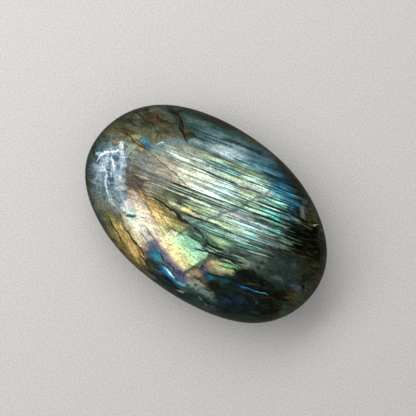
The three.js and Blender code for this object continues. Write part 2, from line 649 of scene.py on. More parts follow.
def lay_body(skin):
    """The smoky grey-green feldspar of the sides and underside, with its lamellae and cracks."""
    t = skin.t
    smoke = t.grained((15, 12, 9), DIPPING, (3, 1, 0))
    skin.colour = t.mix(t.rise(smoke, 0.35, 0.65), paint(72, 74, 52), paint(44, 66, 62))
    blotches = t.grained((9, 4.5, 5), DIPPING, (40, 0, 0), detail=4.0)
    skin.tint(t.times(t.rise(blotches, 0.5, 0.64), 0.9), paint(13, 16, 10))
    sheets = t.grained((18, 0.8, 12), DIPPING, (0, 50, 0), roughness=0.65)
    skin.tint(t.times(t.rise(sheets, 0.53, 0.68), 0.75), paint(108, 122, 98))
    skin.tint(t.times(t.rise(sheets, 0.46, 0.36), 0.8), paint(18, 24, 20))
    # sleeping flashes, which the light from above doesn't wake
    skin.patches(
        STREAKED,
        ((-9, -7), (13, 6), 24, (70, 108, 110), 0.6, STREAKED, skin.thin),
        ((12, 5), (12, 6), 18, (54, 96, 124), 0.65, STREAKED, skin.thin),
        ((-2, 2), (9, 3.4), 20, (126, 140, 92), 0.5, STREAKED, skin.thin),
        ((-24, 4), (5, 6), 30, (112, 98, 66), 0.6, RAGGED),
    )
    needles = t.grained((14, 0.3, 8), DIPPING, (0, 0, 30), detail=2.0)
    skin.shade(t.rise(needles, 0.64, 0.38), 0.5, 1.3, 0.8)
    # cracks that run down the sides, long and bent
    cracks = t.grained((5, 26, 9), (0.3, 0.5, 0.5), (70, 0, 0), detail=2.0)
    crack = t.maths("ABSOLUTE", t.centred(cracks))
    skin.tint(t.times(t.rise(crack, 0.012, 0.003), 0.8), paint(16, 15, 8))
    specks = t.grained((1.1, 1.1, 1.1), UPRIGHT, (0, 0, 90), detail=2.0, roughness=0.5)
    skin.tint(t.times(t.rise(specks, 0.7, 0.75), 0.9), paint(*INK))


def lay_ground(skin):
    """What lies round the flash on the left, the top and the bottom."""
    t = skin.t
    # upper left: olive and brown smoke, with its cracks
    skin.patch((-24, 9.5), (12, 9), 38, (64, 70, 50), share=0.97)
    mottle = t.grained((3.4, 1.8, 3), (0, 0, math.radians(30)), (60, 0, 0), detail=4.0, roughness=0.65)
    skin.patches(
        RAGGED,
        ((-23, 10), (9, 7), 38, (98, 100, 78), 0.8, SOFT, t.rise(mottle, 0.48, 0.6)),
        ((-23, 10), (9, 7), 38, (34, 36, 22), 0.7, SOFT, t.rise(mottle, 0.44, 0.34)),
        ((-25.2, 6.8), (4.2, 1.6), 24, (92, 104, 86), 0.85, SOFT),
        ((-23.9, 12.9), (1.6, 0.9), 50, (84, 84, 70)),
        ((-21.2, 13.2), (1.8, 0.9), -20, (92, 94, 68)),
        ((-18.4, 10.6), (2.6, 2.2), 40, (100, 98, 72), 0.85, SOFT),
        ((-17.5, 9.4), (1.6, 0.8), 42, (92, 100, 84), 0.85, SOFT),
        ((-24.6, 10.8), (2.6, 1.2), 24, (58, 46, 26), 0.8),
        ((-25.5, 8.0), (2.4, 0.5), 14, (46, 50, 32), 0.8),
        ((-20.8, 9.4), (2.2, 0.5), 36, (56, 58, 34), 0.8),
        ((-21.4, 6.4), (1.3, 0.7), 34, (116, 116, 60)),
        ((-29.6, 5.9), (2.6, 0.5), 24, (44, 52, 36)),
        # the dark teal shoulder beside it
        ((-16.2, 15.6), (6.2, 3.0), 32, (46, 62, 54), 0.95, STREAKED),
        ((-9, 18.2), (13, 2.6), 12, (52, 76, 72), 0.95, STREAKED),
        ((-15.2, 16.7), (3.6, 0.6), 22, (82, 106, 100), 0.8, STREAKED),
        ((-10.5, 16.9), (3.6, 0.8), 22, (92, 122, 122), 0.8, STREAKED),
        ((-11.0, 13.9), (3.4, 0.7), 20, (44, 62, 58), 0.5, STREAKED),
        ((-13, 19.0), (8, 0.8), 19, (34, 34, 18), 0.9, STREAKED),
        ((-14.6, 13.0), (1.6, 0.9), 30, (42, 46, 26), 0.85),
        # left: bronze above the fractured patch
        ((-27.5, 2.6), (5.5, 3.2), 22, (88, 82, 54), 0.9, SOFT),
        ((-28.5, 1.9), (2.6, 0.4), 24, (120, 112, 78), 0.8),
        ((-28.4, 4.3), (2.6, 0.35), 26, (62, 60, 38), 0.8),
        # bottom slopes: olive gold on the left, blue-grey in the middle, teal on the right
        ((-12.5, -16.5), (11, 4.6), -24, (140, 126, 74), 0.9, STREAKED),
        ((-21.5, -12.5), (6.5, 3.0), -42, (96, 104, 94), 0.9, SOFT),
        ((3.5, -17.4), (10, 3.0), -3, (70, 92, 98), 0.9, SOFT),
        ((11, -17), (7.0, 2.8), 16, (62, 86, 84), 0.9, STREAKED),
    )


def lay_field(skin):
    """The wide pale flash, partly a painted reflection of the lamp above, and the dark end that it runs
    into.
    """
    t = skin.t
    skin.patches(
        SOFT,
        # the flash's pale ground is partly its own colour and partly a painted reflection: the milky veil
        # that the lamp above lays on the polish
        ((2.4, 3.8), (24.4, 13.8), 14, (132, 150, 130), 0.97, EDGED),
        ((-17.6, -1.5), (6.2, 5.5), -8, (122, 120, 108), 0.95),
        ((-19.5, -4.5), (4.0, 3.0), -20, (92, 84, 76)),
        ((-16.5, 2.5), (4.2, 1.8), 12, (146, 140, 122)),
        ((-19.5, 0.8), (2.6, 2.0), 20, (104, 120, 116)),
        # misty head
        ((-3.9, 16.4), (9.8, 2.8), 13, (96, 124, 128), 0.95, GLOW),
        ((-2.0, 17.7), (6.0, 1.3), 13, (134, 156, 160), 0.9, GLOW),
        # blue shoulder
        ((8.5, 16.9), (10.5, 2.8), -13, (44, 84, 100), 0.97, SILKY),
        ((14.2, 13.6), (5.0, 3.8), -24, (40, 88, 108), 0.95),
        # dark end: near black, with a smoky blue-green window
        ((28, 2), (9.4, 20), 4, (32, 35, 22), 0.97, STREAKED),
        ((19.5, 15.4), (8.5, 2.6), -38, (58, 54, 26), 0.98, FIRM),
    )
    mottle = t.grained((2.2, 1.2, 2), (0, 0, math.radians(-30)), (20, 0, 0), detail=4.0, roughness=0.7)
    skin.patches(
        SOFT,
        ((21.5, 13.8), (7.5, 2.4), -38, (104, 100, 66), 0.7, SOFT, t.rise(mottle, 0.5, 0.62)),
        ((21.5, 13.8), (7.5, 2.4), -38, (16, 16, 6), 0.8, SOFT, t.rise(mottle, 0.47, 0.38)),
        ((11.5, 19.3), (6.5, 1.2), -16, (40, 40, 26), 0.95, EASED),
        ((19.0, -11.5), (9.5, 6.4), 20, (15, 27, 31), 0.97),
        ((22.3, -0.8), (6.0, 4.6), 10, (42, 60, 56)),
        ((22.8, 8.6), (7.0, 4.6), 12, (2, 2, 1), 0.99, STREAKED),
        ((22, -6.2), (9.0, 1.7), 5, (7, 7, 3), 0.95),
        ((27, -9), (4.5, 4.6), 40, (19, 20, 11)),
        ((13.6, -10.5), (3.2, 5.0), 10, (24, 36, 30)),
    )
    haze = t.grained((5, 1.6, 4), (0, 0, math.radians(12)), (0, 0, 50), detail=4.0, roughness=0.65)
    skin.patches(
        SOFT,
        ((22, -6), (11, 13), 10, (58, 74, 68), 0.3, SOFT, t.rise(haze, 0.5, 0.66)),
        ((25, 0), (9, 16), 6, (72, 64, 38), 0.45, SOFT, t.rise(haze, 0.46, 0.34)),
    )
    crumbs = t.grained((0.8, 0.8, 0.8), UPRIGHT, (0, 9, 0))
    skin.patches(
        SOFT,
        ((22.5, -1.5), (6.5, 6.0), 10, INK, 0.8, SOFT, t.rise(crumbs, 0.62, 0.68)),
        ((22.5, -1.0), (6.0, 5.0), 10, (84, 108, 104), 0.5, SOFT, t.rise(haze, 0.4, 0.3)),
        ((30.4, -2.0), (2.2, 10.0), 0, (84, 74, 44), 0.7, SOFT, t.rise(haze, 0.52, 0.42)),
        ((30.6, -5.0), (1.6, 7.0), -4, (70, 88, 70), 0.6, SOFT, t.rise(haze, 0.46, 0.56)),
    )


def lay_glows(skin):
    """The flash's colours, lying along the lamellae, from its top edge down."""
    for height, start, end, size, colour, share in (
        (15.6, -14.5, -9, 0.7, (96, 126, 128), 0.9), (15.4, -9, -2, 0.8, ICE, 0.85),
        (15.2, -1, 7, 0.7, (104, 130, 134), 0.8), (14.6, -18, -4, 0.5, (88, 108, 114), 0.85),
        (13.9, -12, 4, 0.5, OLIVE_MIST, 0.85), (13.9, 3, 8, 0.5, (122, 138, 118), 0.8),
        (13.2, -16, -11, 0.7, (160, 158, 134), 0.8), (13.2, -11, -2, 0.6, (164, 188, 166), 0.85),
        (13.2, -2, 5, 0.6, (170, 182, 142), 0.85), (13.3, 4, 8.5, 0.6, (150, 166, 132), 0.75),
        (12.1, -18, -9, 0.8, (172, 182, 168), 0.85), (12.2, -8, 2, 0.6, (120, 162, 156), 0.9),
        (12.1, 2, 9, 0.65, (212, 232, 208), 0.85), (12.1, 8.5, 15, 0.8, SKY, 0.5),
        (10.9, -21, -16, 1.0, (124, 146, 142), 0.8), (10.8, -17, -8, 0.8, (206, 214, 200), 0.9),
        (10.8, -8, -1, 0.6, (186, 212, 192), 0.85), (10.8, -1.2, 1.2, 0.5, BUTTER, 0.6),
        (10.7, 1, 6, 0.7, CREAM, 0.7), (10.7, 5.5, 9.5, 0.7, (224, 246, 216), 0.9),
        (10.6, 9.5, 13.5, 0.8, (128, 190, 186), 0.92), (10.6, 13.5, 17.5, 0.9, (86, 158, 176), 0.85),
        (9.0, -17, -10, 0.5, (190, 190, 168), 0.8), (8.8, -11, -3, 0.9, (232, 246, 236), 0.9),
        (8.5, -7.5, -3.5, 0.6, PEARL, 0.9), (8.7, -3, 3, 0.7, (184, 212, 206), 0.9),
        (8.7, 2.5, 8, 0.5, (226, 222, 178), 0.85), (8.6, 8, 15, 0.6, (186, 240, 204), 0.92),
        (8.1, -18, -12, 0.6, PEACH, 0.5), (8.1, -14, -6, 0.7, (242, 236, 204), 0.92),
        (8.0, -6, 1, 0.5, (222, 236, 220), 0.85), (8.0, 1, 8, 0.5, (216, 226, 186), 0.85),
        (8.0, 9, 14.5, 0.5, (164, 226, 196), 0.85), (7.0, -22, -18.5, 0.8, (84, 112, 112), 0.8),
        (7.0, -19, -13, 0.8, (136, 138, 124), 0.85), (7.0, -13, -2, 0.7, (216, 230, 208), 0.92),
        (7.0, -2, 6, 0.6, (214, 238, 234), 0.9), (6.9, 6, 15, 0.35, (226, 250, 236), 0.9),
        (6.0, -21, -17, 0.7, (104, 130, 128), 0.8), (6.0, -17, -11, 0.7, (162, 158, 142), 0.85),
        (6.1, -12, -4, 0.6, (240, 244, 222), 0.92), (6.1, -4, 3, 0.6, (206, 234, 230), 0.9),
        (6.0, 2.5, 6, 0.5, BUTTER, 0.75), (5.9, 6, 10, 0.6, (176, 204, 160), 0.85),
        (5.85, 9.8, 15.5, 0.45, (124, 212, 192), 0.9), (5.1, -18, -12, 0.6, (176, 160, 140), 0.85),
        (5.1, -14, -7, 0.55, (196, 194, 164), 0.85), (4.95, -8, 0, 0.42, (236, 240, 218), 0.85),
        (4.85, -1, 6, 0.34, (232, 242, 226), 0.85), (4.7, 6, 12, 0.35, (206, 230, 196), 0.85),
        (4.6, 12, 16, 0.28, (98, 240, 230), 0.95), (4.6, -21, -12, 0.5, (112, 116, 112), 0.7),
        (3.4, -20, -12, 0.9, (132, 130, 120), 0.7), (2.3, -16, -11, 0.5, (150, 142, 122), 0.7),
        (3.4, 4, 10, 0.6, (146, 178, 160), 0.8), (3.3, 9.5, 15.5, 0.5, (150, 206, 186), 0.85),
        (1.9, -12.5, -5, 1.2, (102, 116, 84), 0.8), (1.7, -6, 3, 0.8, (216, 238, 206), 0.88),
        (1.5, 3.5, 9, 0.8, ROSE, 0.85), (1.4, 8, 14, 0.7, (204, 228, 222), 0.85),
        (1.5, 13, 18, 0.7, (130, 206, 186), 0.85), (0.6, -13.5, -7, 0.9, (106, 110, 76), 0.85),
        (0.3, -6, 2, 0.7, (148, 152, 104), 0.85), (0.1, 2.5, 8, 0.7, (206, 228, 204), 0.85),
        (0.1, 7.5, 13.5, 0.7, (196, 226, 232), 0.9), (0.0, 13, 18, 0.6, (150, 180, 164), 0.85),
        (0.9, 18.5, 22.5, 0.12, (84, 150, 118), 0.7), (-0.1, 19, 21.5, 0.14, (140, 156, 116), 0.7),
        (-0.8, 18, 21.5, 0.16, (130, 170, 136), 0.8), (-2.9, 12, 16, 0.6, (160, 204, 194), 0.85),
        (-5.4, 8.5, 12.5, 0.45, (146, 198, 164), 0.75), (18.0, -3, 4, 0.6, (98, 126, 130), 0.75),
        (-1.4, 1.5, 8, 0.7, (206, 218, 160), 0.88), (-1.5, 7, 11, 0.6, (206, 230, 196), 0.88),
        (-2.0, 9.5, 13.2, 0.8, (160, 226, 210), 0.9), (-1.7, 13.5, 16.5, 0.6, (184, 178, 160), 0.85),
        (-2.0, 15.5, 18.5, 0.7, (126, 146, 166), 0.85), (-2.0, 18, 21, 0.6, (150, 156, 136), 0.8),
        (-2.4, -9, -1, 0.5, (172, 190, 150), 0.8), (-3.7, -1, 6, 0.5, (100, 150, 134), 0.8),
        (-4.0, 5, 12, 0.5, (170, 220, 200), 0.85), (-4.9, 12, 16, 0.6, (96, 176, 168), 0.85),
        (-4.6, 15.5, 20, 0.7, (90, 88, 76), 0.7), (-5.6, 3, 9, 0.5, (192, 238, 184), 0.9),
        (-6.3, 4, 9, 0.5, (206, 232, 160), 0.85), (-6.6, 9, 13, 0.6, (74, 130, 118), 0.8),
        (-6.2, 13, 18, 0.2, (176, 200, 166), 0.75), (-7.6, 4.5, 10, 0.6, (150, 188, 128), 0.8),
        (-7.6, 11, 15, 0.6, (50, 80, 72), 0.6), (-8.9, 10, 14.5, 0.5, (124, 178, 152), 0.85),
        (-9.6, 10.5, 15, 0.4, (110, 150, 122), 0.8), (-10.8, 9, 15.5, 0.35, (160, 182, 130), 0.8),
        (-11.6, 8, 15, 0.5, (150, 176, 120), 0.85), (-12.9, 10, 13.5, 0.5, (190, 196, 150), 0.8),
        (-13.6, 10.5, 14, 0.5, (176, 178, 134), 0.8), (-12.6, 13.5, 17, 0.4, (64, 52, 30), 0.7),
    ):
        skin.glow(height, start - GLOW_OVERLAP, end + GLOW_OVERLAP, GLOW_SPREAD * size, colour, share)


def lay_lower_flash(skin):
    """Amber, cream, lime and yellow below the long crack, with a rainbow along their lower edge."""
    # mauve hollow where the long crack starts
    skin.patches(
        SMOOTH,
        ((-18.5, -5.6), (4.6, 2.0), -14, (98, 88, 80), 0.9, SOFT),
        ((-15.3, -4.0), (1.7, 0.9), -8, (150, 144, 124), 0.85, BLOCK),
        # amber, with its shaded top edge
        ((-8.2, -7.2), (6.6, 2.5), -5, (176, 158, 98), 0.97, FANNED),
        ((-11.6, -7.0), (2.6, 1.2), -20, (228, 186, 118), 0.9, FANNED),
        ((-7.6, -7.4), (3.4, 0.9), -4, (212, 190, 118), 0.85, FANNED),
        ((-3.9, -6.6), (2.4, 1.3), 6, (150, 148, 88), 0.9, FANNED),
        ((-7.6, -5.7), (5.4, 0.7), 2, (92, 84, 34), 0.85, RAGGED),
        ((-6.6, -9.2), (2.8, 1.0), -4, (178, 170, 112), 0.85, FANNED),
        # peach, pink-white and cream
        ((-15.6, -8.8), (3.5, 1.5), -26, (212, 192, 168), 0.95),
        ((-12.2, -9.8), (4.2, 1.5), -22, (238, 226, 198), 0.97),
        ((-17.2, -10.6), (1.2, 1.6), -10, (240, 226, 232)),
        ((-6.8, -11.8), (5.2, 1.4), -16, (248, 232, 210), 0.97),
        ((-6.2, -10.6), (2.2, 1.1), -10, (232, 228, 170), 0.85),
        ((-11.4, -12.9), (3.6, 1.7), -14, (255, 255, 232), 0.98),
        ((-8.0, -14.0), (2.2, 1.3), -8, (202, 202, 190), 0.92, CRISP),
        ((-14.3, -14.1), (2.4, 0.9), -20, (182, 174, 138), 0.9, RAGGED),
        ((-9.6, -15.5), (3.2, 1.1), -14, (222, 212, 172), 0.92, CRISP),
        ((-11.2, -8.2), (2.4, 0.9), -22, (252, 224, 164), 0.6, FANNED),
        ((-6.2, -12.0), (2.2, 0.8), -16, (252, 248, 216), 0.6),
        # lime panel with straight sides, and the shade above it
        ((3.2, -6.2), (4.7, 1.7), 2, (62, 100, 78), 0.95, BLOCK),
        ((10.4, -6.0), (4.4, 1.4), 20, (26, 46, 38), 0.9, STREAKED),
        ((15.8, -6.4), (3.2, 1.4), 14, (18, 22, 16), 0.92, STREAKED),
        ((15.2, -2.6), (2.4, 0.7), 16, (44, 66, 60), 0.7, STREAKED),
        ((1.2, -9.9), (5.5, 2.5), -1, (180, 240, 196), 0.98, BLOCK),
        ((3.4, -8.4), (2.6, 0.7), -4, (140, 216, 200), 0.75),
        ((-1.0, -8.8), (2.4, 0.9), -4, (160, 218, 186), 0.8),
        ((4.4, -10.0), (1.4, 1.1), -8, (190, 244, 202), 0.8),
        ((-3.5, -9.9), (1.3, 2.0), -4, (240, 244, 196), 0.95, BLOCK),
        ((0.6, -11.4), (4.9, 1.2), -6, (222, 250, 184)),
        ((1.0, -13.1), (4.2, 1.4), -8, (252, 244, 180), 0.97),
        ((-2.2, -12.6), (2.6, 0.9), -10, (252, 240, 180), 0.85),
        # beyond the grey crack: green and gold, then mauve and peacock
        ((10.9, -8.5), (3.1, 1.2), 22, (186, 200, 146), 0.92, FANNED),
        ((12.7, -7.0), (2.2, 0.5), 24, (116, 182, 136), 0.9, FANNED),
        ((8.6, -9.5), (1.4, 1.0), 14, (192, 174, 124), 0.9, RAGGED),
        ((8.2, -10.7), (1.5, 0.9), 14, (122, 104, 92), 0.85, RAGGED),
        ((12.6, -9.4), (2.0, 0.3), 24, (186, 168, 150), 0.6, RAGGED),
        ((12.4, -11.2), (2.6, 1.2), 20, (38, 74, 70), 0.85, STREAKED),
        ((9.3, -12.4), (2.1, 1.2), -8, (30, 70, 90), 0.95),
        ((10.0, -12.3), (1.2, 0.5), 6, (42, 94, 108), 0.7, RAGGED),
        ((8.0, -11.9), (0.9, 1.2), 14, (70, 76, 104), 0.7),
        ((9.2, -14.0), (2.0, 0.7), -14, (96, 82, 72), 0.8, RAGGED),
        ((6.9, -13.6), (1.5, 1.3), 20, (154, 140, 106), 0.9, RAGGED),
        ((12.2, -13.4), (1.6, 1.6), 10, (24, 24, 14), 0.95),
        ((8.6, -15.1), (3.6, 0.35), 2, (160, 150, 116), 0.85, RAGGED),
    )
    # rainbow edge
    edge = [(-6.8, -12.6), (-4, -13.3), (-1, -14.0), (2, -14.8), (5.6, -15.2)]
    for drop, thickness, colour, share in (
        (-0.1, 0.9, (228, 196, 168), 0.5), (-0.7, 1.0, (168, 146, 162), 0.8),
        (-1.3, 1.1, (116, 118, 146), 0.85), (-2.0, 1.2, (88, 110, 128), 0.8),
    ):
        skin.vein([(x, y + drop) for x, y in edge], thickness, colour, share, pointed=False)
    skin.patches(
        FANNED,
        ((-1.6, -16.2), (2.4, 0.9), -14, (96, 120, 124), 0.9, RAGGED),
        ((-3.9, -16.0), (1.4, 1.0), -8, (48, 138, 154), 0.95, RAGGED),
        ((-5.7, -16.2), (0.9, 1.2), 14, (66, 84, 118), 0.85, SMOOTH),
        ((-6.9, -15.9), (0.7, 1.1), 14, (140, 124, 136), 0.75, SMOOTH),
        ((4.0, -16.0), (1.6, 0.6), -8, (62, 76, 116), 0.9, SMOOTH),
        ((6.0, -16.2), (1.0, 0.6), 24, (146, 132, 150), 0.85, RAGGED),
        ((8.0, -16.3), (2.2, 0.7), 14, (156, 172, 160), 0.9, RAGGED),
        ((11.4, -16.0), (2.8, 0.8), 4, (104, 126, 118), 0.9, RAGGED),
        ((-3.0, -18.2), (3.2, 0.9), 4, (34, 48, 42), 0.95, STREAKED),
        ((11.5, -18.2), (5.0, 1.0), 14, (30, 44, 36), 0.9, STREAKED),
        ((3.0, -19.9), (7.5, 0.9), 0, (10, 20, 24), 0.85, CRUMBLED),
        ((12.0, -15.0), (1.8, 0.6), 14, (22, 26, 22), 0.7, STREAKED),
        # gold of the bottom slope
        ((-15.6, -16.4), (3.2, 0.9), -24, (176, 164, 96), 0.85),
        ((-11.8, -17.5), (3.2, 0.8), -20, (186, 162, 98), 0.85),
        ((-8.8, -18.4), (3.6, 1.0), -12, (226, 192, 124), 0.95),
        ((-7.0, -17.5), (1.2, 0.6), -20, (140, 98, 54), 0.8),
        ((-18.6, -15.9), (2.2, 0.4), -30, (112, 106, 52), 0.85),
    )


def lay_left_end(skin):
    """The fractured, blue-white patch, and the bronze and cyan above it."""
    web = skin.web
    skin.patches(
        RAGGED,
        ((-26.2, -5.2), (4.4, 7.4), 26, (84, 108, 120), 0.97, FROSTED),
        ((-20.4, -9.8), (3.2, 1.9), -46, (122, 146, 156)),
        ((-26, -2.6), (2.4, 1.0), 20, (74, 104, 130)),
        ((-28, -3.9), (1.8, 0.8), 44, (66, 98, 128)),
        ((-26, -5.9), (2.0, 1.0), -24, (54, 86, 120)),
        ((-24, -8), (1.6, 0.8), -44, (56, 90, 122)),
        ((-27.9, -8.0), (1.9, 1.0), -20, (122, 140, 162), 0.8),
        ((-24.4, -4.2), (1.2, 2.2), -10, (158, 182, 200), 0.75),
        ((-22.7, -6.8), (0.8, 1.8), 36, (190, 210, 218), 0.85),
        ((-26, -3.6), (4.0, 5.2), 20, (216, 232, 240), 0.7, SOFT, web),
        ((-24, -9), (5.0, 4.4), -40, (166, 190, 198), 0.45, SOFT, web),
        ((-25.9, -0.9), (1.4, 0.6), -32, (222, 234, 242), 0.8),
        # painted glint: a white spot where the pit at the left end catches the light
        ((-27.1, 0.6), (1.1, 0.6), -40, (236, 244, 242), 0.95),
        ((-24.4, 1.4), (1.4, 1.2), 20, (150, 172, 158), 0.85),
        ((-23.0, 5.0), (1.6, 0.6), 8, (80, 146, 168)),
        ((-21.6, 4.4), (1.2, 0.6), -20, (44, 88, 120)),
        ((-25.6, 4.4), (1.5, 0.5), 40, (164, 166, 118), 0.85),
        ((-28.6, 0.25), (1.5, 0.35), 22, (140, 108, 62), 0.8),
        ((-29.2, -1.2), (2.0, 0.45), 28, (80, 112, 106)),
        ((-30.4, -4.6), (0.6, 0.4), 40, (170, 216, 222)),
        ((-23.4, 2.2), (0.4, 0.9), -30, (138, 92, 60), 0.85),
        ((-22.6, 2.7), (0.5, 0.3), 0, (204, 178, 122)),
        ((-24.3, 3.0), (0.4, 0.7), -20, (120, 132, 92), 0.8),
        ((-22.2, 3.7), (0.9, 0.25), -10, (56, 60, 44), 0.8),
        ((-24.4, -4.0), (1.8, 1.4), 10, (92, 116, 130), 0.5),
        ((-25.0, -10.0), (1.8, 1.0), -40, (78, 100, 106), 0.6),
        ((-18.6, -12.1), (2.4, 0.9), -30, (112, 124, 124), 0.5),
        ((-27.6, -2.0), (0.8, 0.8), 20, (190, 212, 220), 0.6),
        ((-27.7, -6.0), (1.3, 3.6), 14, (186, 208, 222), 0.45),
        ((-21.0, -7.4), (0.9, 1.2), 30, (210, 220, 214), 0.6),
    )
    bright = (240, 248, 252)
    skin.veins(
        (OPEN_VEINS[0], 0.6, bright, 0.85),
        ([(-27.2, -3.2), (-26.3, -4.1), (-25.2, -5.2), (-24.6, -6.4)], 0.6, bright, 0.7),
        (OPEN_VEINS[1], 0.6, (214, 228, 234), 0.7),
        ([(-25, -1), (-24.3, -2.6), (-23.6, -4.4), (-22.6, -6), (-21.6, -8)], 0.8, (196, 214, 224), 0.5),
        ([(-22.4, -10.6), (-20.4, -11.9), (-18.2, -12.4)], 0.5, (176, 206, 206), 0.75),
        ([(-20.4, -8.6), (-18.6, -10.4), (-17.6, -12.4)], 0.7, (150, 178, 190), 0.7),
    )


def lay_streaks(skin):
    """Fine streaks along the lamellae, too many to place one by one."""
    t = skin.t
    field = t.times(t.rise(skin.x, -20.0, -2.0), t.rise(skin.x, 25.0, 17.0),
                    t.rise(skin.height, -9.0, -3.5), t.rise(skin.height, 20.0, 15.0))
    fine = t.grained((7, 0.25, 3), LAYERED, (0, 7, 0))
    skin.shade(t.rise(fine, 0.64, 0.38), 0.28, 1.55, t.maths("MULTIPLY_ADD", field, 0.7, 0.15))
    wide = t.grained((12, 0.6, 5), LAYERED, (0, 3, 0), detail=2.0, roughness=0.5)
    darker = t.maths("MULTIPLY_ADD", skin.x, 0.004, wide)  # the dark strands thicken to the right
    skin.shade(t.rise(darker, 0.64, 0.46), 0.3, 1.4, t.times(field, 0.85))
    # the middle leans to green and blue
    skin.tint(t.times(field, t.rise(skin.x, -10.0, 0.0)), (0.9, 1.1, 1.14, 1.0), "MULTIPLY")
    # hair-fine lines over the cream and the grey left of it
    hair = t.grained((9, 0.14, 3), LAYERED, (0, 11, 0), detail=2.0, roughness=0.55)
    left_too = t.times(t.rise(skin.x, -24.0, -17.0), t.rise(skin.x, 22.0, 14.0),
                       t.rise(skin.height, -5.0, -2.0), t.rise(skin.height, 16.0, 12.0))
    skin.shade(t.rise(hair, 0.64, 0.52), 0.38, 1.12, left_too)
    # where the flash is duller
    skin.patches(
        STREAKED,
        ((4.0, -4.0), (12.0, 1.3), 6, (34, 52, 40), 0.4),
        ((-11.0, 0.3), (3.2, 0.9), 17, (66, 84, 70), 0.4),
        ((-15.0, 4.0), (2.4, 0.9), 14, (118, 118, 100), 0.45),
        ((-12.5, 10.0), (2.4, 0.9), 18, (104, 118, 104), 0.4),
        ((-12.5, 14.1), (2.4, 0.8), 20, (38, 60, 58), 0.45),
        ((5.0, 14.0), (2.2, 0.7), 17, (112, 136, 128), 0.45),
        ((12.6, 14.1), (2.0, 0.7), 14, (40, 86, 98), 0.5),
        ((22.5, 8.0), (2.2, 1.0), 12, (8, 10, 6), 0.6),
        ((2.4, -6.1), (3.0, 0.7), 4, (36, 66, 50), 0.45),
        ((-0.9, -7.9), (2.6, 0.7), -2, (100, 144, 108), 0.6),
        ((7.6, -8.1), (1.2, 0.8), 10, (52, 72, 54), 0.6),
        ((-10.0, 6.0), (2.8, 1.0), 17, (150, 168, 148), 0.4),
        ((-4.3, -4.3), (2.6, 0.6), 4, (40, 44, 26), 0.5),
        ((-9.0, 13.5), (2.2, 0.7), 18, (84, 112, 112), 0.5),
        ((7.6, 9.0), (2.0, 0.6), 16, (84, 104, 92), 0.5),
        ((7.4, -1.5), (2.2, 0.6), 16, (78, 112, 92), 0.5),
        ((-28.5, 1.5), (1.6, 0.7), 24, (80, 80, 52), 0.6),
        # and where it is brighter
        ((7.5, 12.1), (4.5, 0.7), 16, (200, 224, 212), 0.55),
        ((10.0, 0.2), (2.6, 0.8), 16, (192, 224, 214), 0.4),
        ((15.0, 12.1), (1.8, 0.6), 16, (112, 150, 148), 0.5),
        ((20.0, 6.0), (1.8, 0.5), 16, (110, 132, 110), 0.6),
        ((-7.6, 9.0), (2.2, 0.6), 16, (222, 238, 220), 0.6),
        ((4.4, 12.0), (2.2, 0.6), 16, (226, 244, 228), 0.5),
        ((-4.2, 6.4), (2.6, 0.9), 16, (244, 254, 240), 0.5),
        ((15.6, 10.5), (1.8, 0.6), 16, (112, 166, 160), 0.6),
        ((16.4, 3.0), (2.4, 0.5), 16, (140, 168, 156), 0.5),
        ((10.5, -10.4), (1.6, 0.6), 16, (158, 158, 120), 0.6),
    )
    # broad glows over the streaks
    skin.patches(
        SOFT,
        ((-5.5, 6.2), (6.5, 2.6), 17, (244, 252, 226), 0.25),
        ((5, 1.6), (7.5, 2.2), 18, (226, 248, 230), 0.2),
        ((-5, 15.0), (4.2, 1.0), 18, (218, 238, 240), 0.5, GLOW),
    )


def lay_cross_streaks(skin):
    """Strokes beside the fractured patch, and fine lines that dip the other way across amber and cream."""
    t = skin.t
    skin.patches(
        FANNED,
        ((-17.5, -1.0), (6.5, 4.0), 14, (76, 72, 62), 0.6, STREAKED, skin.thin),
        ((-15.5, 1.8), (5.5, 2.4), 14, (176, 166, 146), 0.4),
    )
    lines = t.grained((5, 0.3, 3), CROSSED, (0, 5, 0))
    below = t.times(t.rise(skin.height, -1.2, -2.4),
                    t.rise(skin.x, -0.5, -5.0), t.rise(skin.x, -22.0, -18.0))
    skin.shade(t.rise(lines, 0.66, 0.42), 0.5, 1.1, t.times(below, 0.6))


